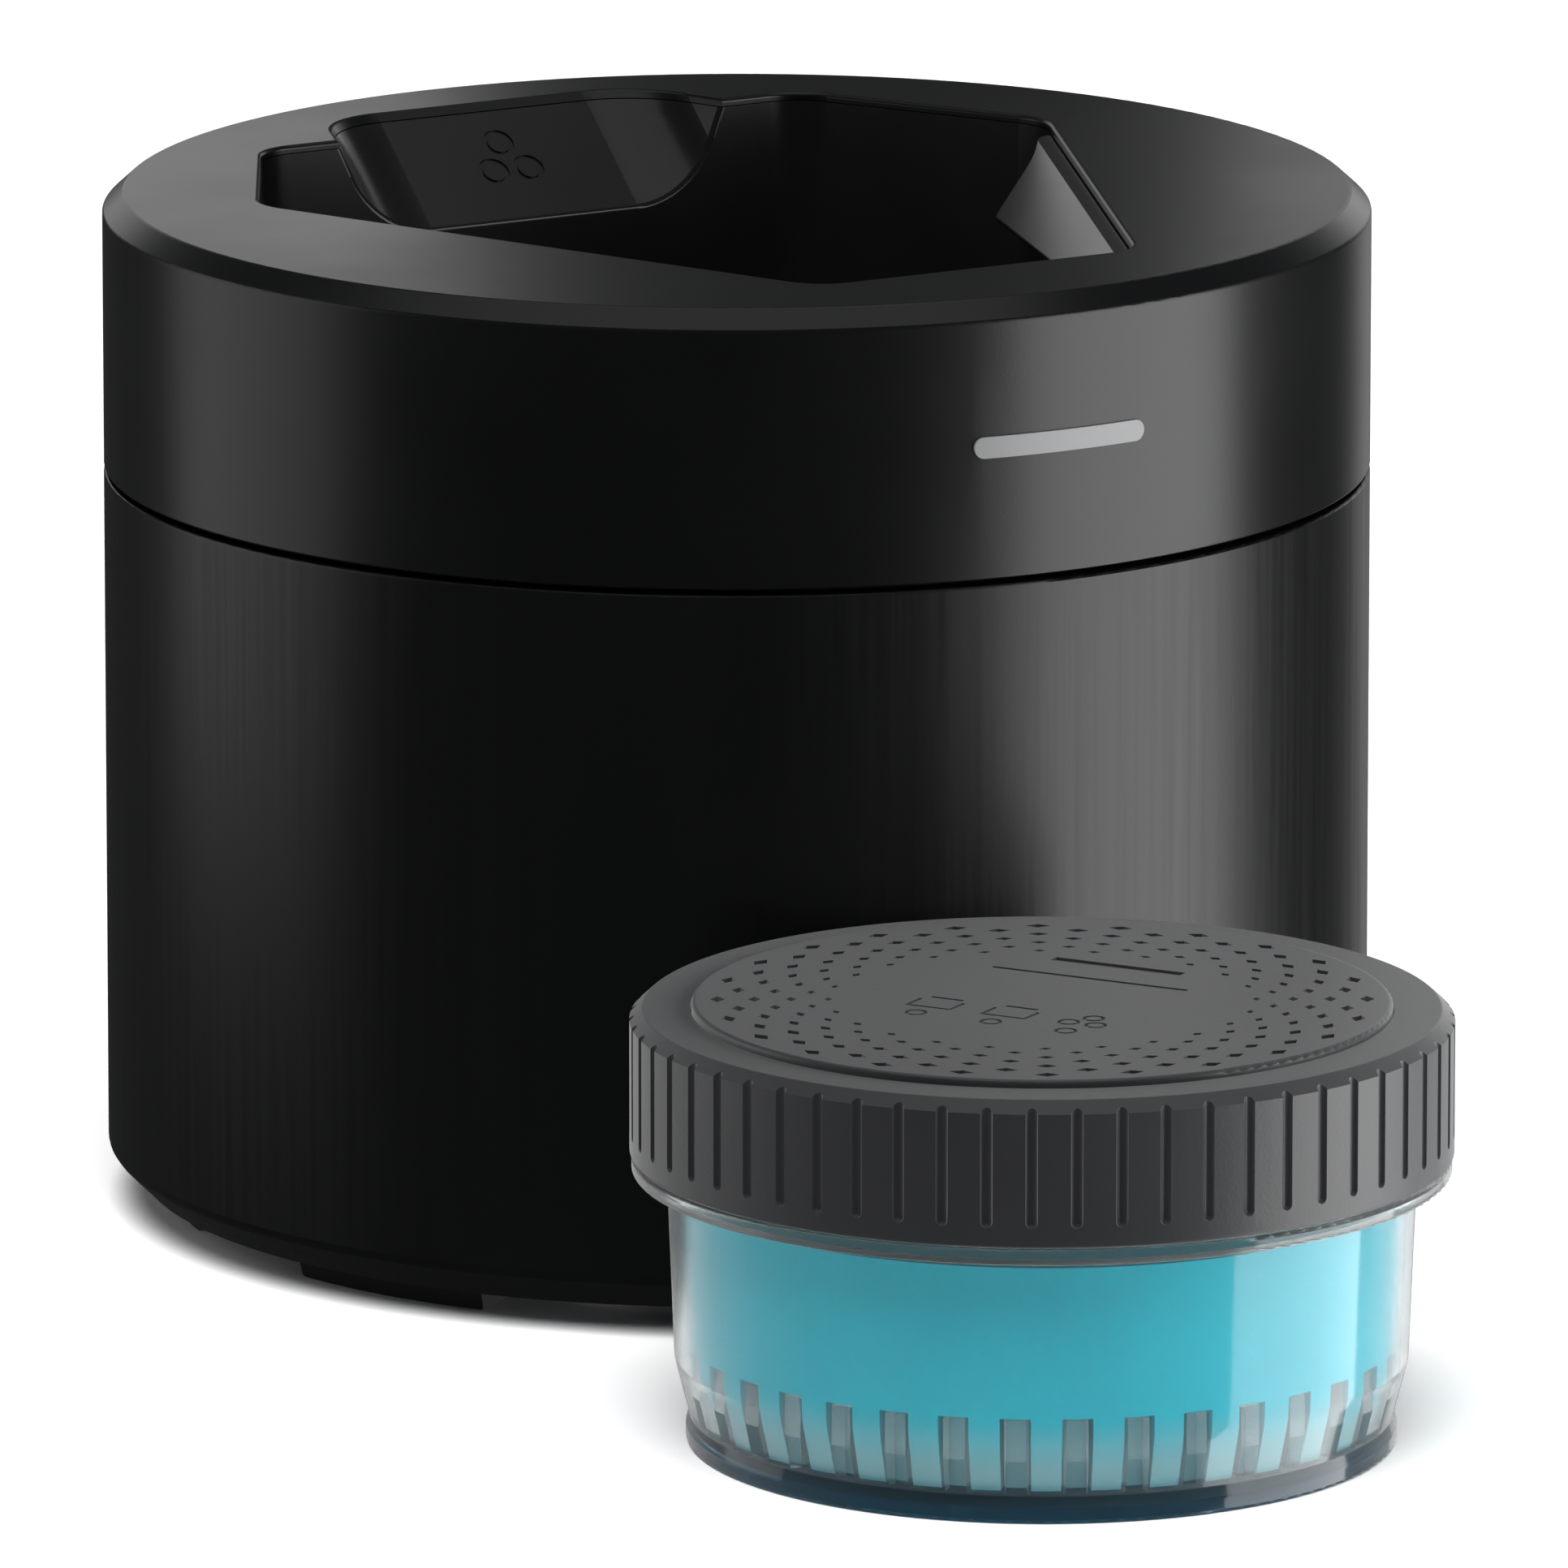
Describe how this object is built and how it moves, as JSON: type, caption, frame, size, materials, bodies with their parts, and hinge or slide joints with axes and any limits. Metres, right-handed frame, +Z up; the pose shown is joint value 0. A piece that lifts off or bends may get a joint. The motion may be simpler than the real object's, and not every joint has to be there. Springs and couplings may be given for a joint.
{
  "type": "shaver cleaning pod",
  "caption": "Round black shaver cleaning pod: its twist-off upper half holds a shaver head over a pump, and its ribbed-cap cartridge of teal cleaning fluid stands beside it.",
  "frame": {"origin": "on the pod's vertical axis, in the plane that its feet and the cartridge stand on", "axes": "+Z up; the pod's front, with its marker bar, faces -Y, and +X is to the right of someone who looks at the front"},
  "size_m": [0.133, 0.2128, 0.107],
  "materials": {
    "pod_lower": "satin black moulding with a faint vertical brushed texture",
    "pod_upper": "satin black moulding with a fine grain",
    "well_plastic": "plain black moulding",
    "base_plastic": "spark-textured black moulding",
    "foot_rubber": "matt black rubber",
    "seal_rubber": "soft black rubber",
    "screw_steel": "zinc-plated steel",
    "seat_gloss": "gloss black moulding",
    "marker_silver": "satin silver-grey inlay",
    "pump_plastic": "dark grey moulding",
    "bush_plastic": "natural acetal",
    "shaft_steel": "ground stainless steel",
    "filter_steel": "etched stainless steel",
    "clear_cup": "clear moulding, slightly frosted",
    "cleaning_fluid": "clear teal fluid",
    "filter_plastic": "off-white moulding",
    "filter_foam": "white filter fleece",
    "cap_plastic": "satin charcoal moulding"
  },
  "bodies": {
    "base": {"lower_housing": "pod_lower", "cartridge_well": "well_plastic", "base_plate": "base_plastic", "base_screws": "screw_steel", "foot_1": "foot_rubber", "foot_2": "foot_rubber", "foot_3": "foot_rubber", "foot_4": "foot_rubber", "foot_5": "foot_rubber", "foot_6": "foot_rubber", "foot_7": "foot_rubber", "foot_8": "foot_rubber"},
    "top_seal": {"rim_seal": "seal_rubber"},
    "top": {"upper_housing": "pod_upper", "head_seat": "seat_gloss", "seat_guide_left": "seat_gloss", "seat_guide_right": "seat_gloss", "seat_screws": "screw_steel", "bayonet_ring": "well_plastic", "ring_screws": "screw_steel", "front_marker": "marker_silver", "pump_housing": "pump_plastic", "pump_cover": "pump_plastic", "upper_bush": "bush_plastic", "lower_bush": "bush_plastic", "shaft_seal": "seal_rubber", "riser_tube": "pump_plastic", "spray_nozzle": "pump_plastic", "drain_filter": "filter_steel", "drain_funnel": "pump_plastic"},
    "pump_rotor": {"drive_peg": "bush_plastic", "pump_shaft": "shaft_steel", "impeller": "bush_plastic"},
    "cartridge": {"cartridge_cup": "clear_cup", "cleaning_fluid": "cleaning_fluid", "filter_plate": "filter_plastic", "fine_filter": "filter_foam"},
    "cap_seal": {"cap_gasket": "seal_rubber"},
    "cap": {"cartridge_cap": "cap_plastic", "cap_disc": "cap_plastic"}
  },
  "joints": [
    {"name": "top_lift", "type": "slide", "parent": "base", "child": "top_seal", "axis": [0, 0, 1], "range_m": [0, 0.1]},
    {"name": "top_turn", "type": "hinge", "parent": "top_seal", "child": "top", "pos_m": [0, 0, 0.08], "axis": [0, 0, -1], "range_deg": [0, 25]},
    {"name": "pump_spin", "type": "hinge", "parent": "top", "child": "pump_rotor", "pos_m": [0, 0, 0.03], "axis": [0, 0, 1], "continuous": true},
    {"name": "cartridge_lift", "type": "slide", "parent": "base", "child": "cartridge", "axis": [0, 0, 1], "range_m": [0, 0.06]},
    {"name": "cap_lift", "type": "slide", "parent": "cartridge", "child": "cap_seal", "axis": [0, 0, 1], "range_m": [0, 0.03]},
    {"name": "cap_turn", "type": "hinge", "parent": "cap_seal", "child": "cap", "pos_m": [-0.02584, -0.10558, 0.035], "axis": [0, 0, -1], "range_deg": [0, 30]}
  ]
}
